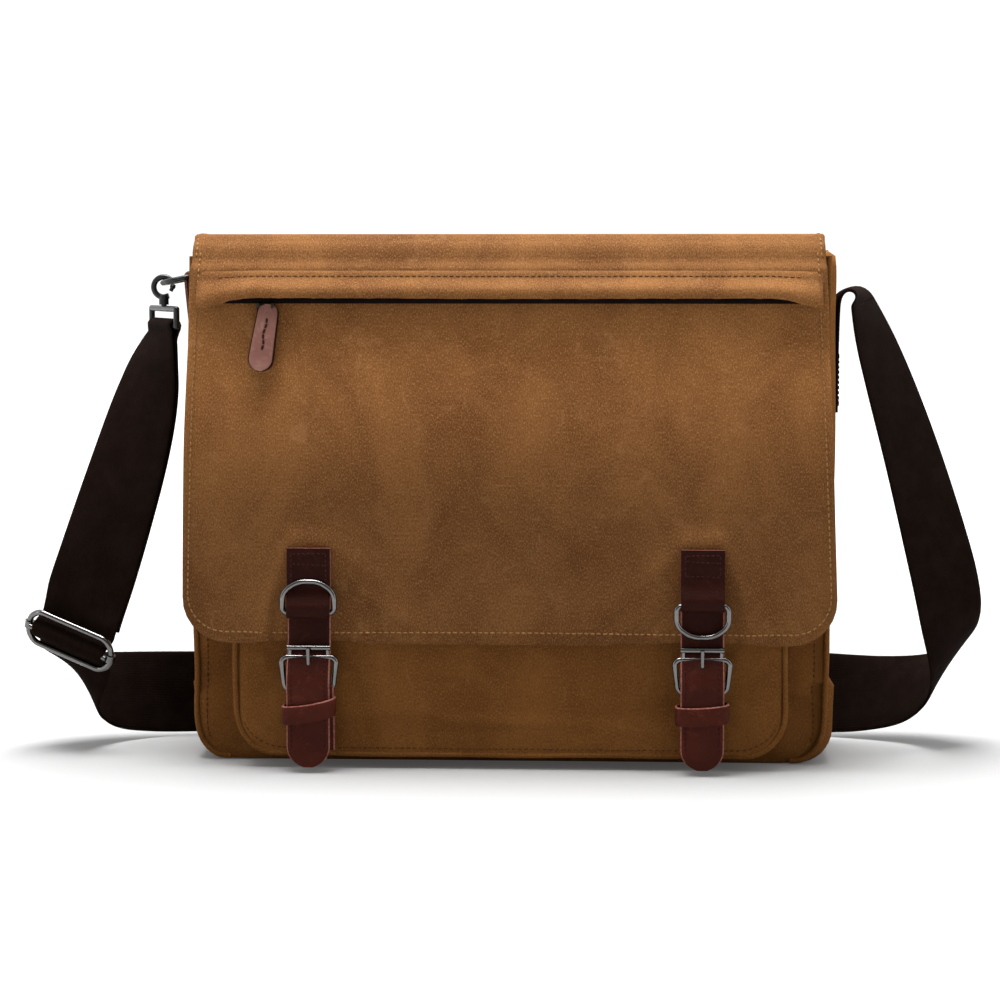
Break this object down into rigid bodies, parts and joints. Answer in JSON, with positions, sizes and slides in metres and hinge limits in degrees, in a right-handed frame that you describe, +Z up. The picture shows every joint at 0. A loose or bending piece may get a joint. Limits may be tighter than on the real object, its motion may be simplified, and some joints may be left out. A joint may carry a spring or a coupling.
{
  "type": "messenger bag",
  "caption": "Canvas messenger bag with a full fold-over flap, leather buckle closures, a zip under a welt and a webbing shoulder strap.",
  "frame": {"origin": "middle of the base between the two side gussets, on the ground", "axes": "+X to the wearer-facing right of the front view, +Y towards the back, +Z up; the flap and pocket face -Y"},
  "size_m": [0.5771, 0.1601, 0.308],
  "materials": {
    "canvas": "waxed cotton canvas, mottled khaki brown",
    "lining": "dark brown woven polyester",
    "board": "plain stiffening board",
    "leather": "dark red-brown, semi-gloss, raw edges",
    "pull_leather": "worn mauve-brown",
    "gunmetal": "polished dark nickel",
    "black_metal": "black, satin",
    "zip_tape": "woven tape",
    "zip_metal": "dark antique",
    "webbing": "ribbed espresso webbing"
  },
  "bodies": {
    "bag": {"back_panel": "canvas", "front_panel": "canvas", "gusset_left": "canvas", "gusset_right": "canvas", "base_panel": "canvas", "base_board": "board", "lining": "lining", "laptop_divider": "lining", "pocket_panel": "canvas", "pocket_gusset": "canvas", "pocket_piping": "canvas", "snap_socket_left": "gunmetal", "snap_socket_right": "gunmetal", "side_ring_tab": "leather", "side_ring": "gunmetal", "strap_root": "webbing", "shoulder_strap": "webbing", "strap_return": "webbing", "slider_frame": "gunmetal", "slider_bar": "gunmetal", "hook_eye": "black_metal"},
    "flap_top": {"flap_top_canvas": "canvas", "flap_top_lining": "lining"},
    "flap_front": {"flap_front_canvas": "canvas", "flap_front_lining": "lining", "flap_welt": "canvas", "zipper_tape": "zip_tape", "zipper_teeth": "zip_metal", "closure_strap_left": "leather", "closure_strap_right": "leather", "ring_tab_left": "leather", "ring_tab_right": "leather", "buckle_anchor_left": "leather", "buckle_anchor_right": "leather", "snap_stud_left": "gunmetal", "snap_stud_right": "gunmetal"},
    "zip_slider": {"zipper_slider": "zip_metal"},
    "zip_pull": {"zipper_pull": "pull_leather"},
    "hook": {"hook_body": "black_metal"},
    "gate": {"hook_gate": "black_metal"},
    "ring_left": {"d_ring_left": "gunmetal"},
    "buckle_left": {"buckle_frame_left": "gunmetal"},
    "prong_left": {"buckle_prong_left": "gunmetal"},
    "keeper_left": {"keeper_left": "leather"},
    "ring_right": {"d_ring_right": "gunmetal"},
    "buckle_right": {"buckle_frame_right": "gunmetal"},
    "prong_right": {"buckle_prong_right": "gunmetal"},
    "keeper_right": {"keeper_right": "leather"}
  },
  "joints": [
    {"name": "flap_lift", "type": "hinge", "parent": "bag", "child": "flap_top", "pos_m": [0, 0.046, 0.3035], "axis": [-1, 0, 0], "range_deg": [0, 165]},
    {"name": "flap_fold", "type": "hinge", "parent": "flap_top", "child": "flap_front", "pos_m": [0, -0.042, 0.305], "axis": [-1, 0, 0], "range_deg": [0, 165]},
    {"name": "zip_travel", "type": "slide", "parent": "flap_front", "child": "zip_slider", "axis": [1, 0, 0], "range_m": [-0.02, 0.3]},
    {"name": "pull_swing", "type": "hinge", "parent": "zip_slider", "child": "zip_pull", "pos_m": [-0.141, -0.05603, 0.2675], "axis": [-1, 0, 0], "range_deg": [0, 90]},
    {"name": "hook_swivel", "type": "hinge", "parent": "bag", "child": "hook", "pos_m": [-0.20971, 0, 0.27], "axis": [0, 0, 1], "range_deg": [-12, 12]},
    {"name": "gate_press", "type": "hinge", "parent": "hook", "child": "gate", "pos_m": [-0.20551, 0, 0.27548], "axis": [0, -1, 0], "range_deg": [0, 14], "stiffness_Nm_per_rad": 0.02, "springref_deg": -11.46},
    {"name": "ring_left_swing", "type": "hinge", "parent": "flap_front", "child": "ring_left", "pos_m": [-0.115, -0.0744, 0.092], "axis": [1, 0, 0], "range_deg": [0, 170]},
    {"name": "buckle_left_swing", "type": "hinge", "parent": "flap_front", "child": "buckle_left", "pos_m": [-0.115, -0.073, 0.047], "axis": [1, 0, 0], "range_deg": [0, 18]},
    {"name": "prong_left_swing", "type": "hinge", "parent": "buckle_left", "child": "prong_left", "pos_m": [-0.115, -0.073, 0.047], "axis": [1, 0, 0], "range_deg": [0, 40]},
    {"name": "keeper_left_slide", "type": "slide", "parent": "flap_front", "child": "keeper_left", "axis": [0, 0, 1], "range_m": [-0.004, 0.002]},
    {"name": "ring_right_swing", "type": "hinge", "parent": "flap_front", "child": "ring_right", "pos_m": [0.111, -0.0744, 0.097], "axis": [-1, 0, 0], "range_deg": [0, 170]},
    {"name": "buckle_right_swing", "type": "hinge", "parent": "flap_front", "child": "buckle_right", "pos_m": [0.111, -0.073, 0.047], "axis": [1, 0, 0], "range_deg": [0, 18]},
    {"name": "prong_right_swing", "type": "hinge", "parent": "buckle_right", "child": "prong_right", "pos_m": [0.111, -0.073, 0.047], "axis": [1, 0, 0], "range_deg": [0, 40]},
    {"name": "keeper_right_slide", "type": "slide", "parent": "flap_front", "child": "keeper_right", "axis": [0, 0, 1], "range_m": [-0.004, 0.002]}
  ]
}
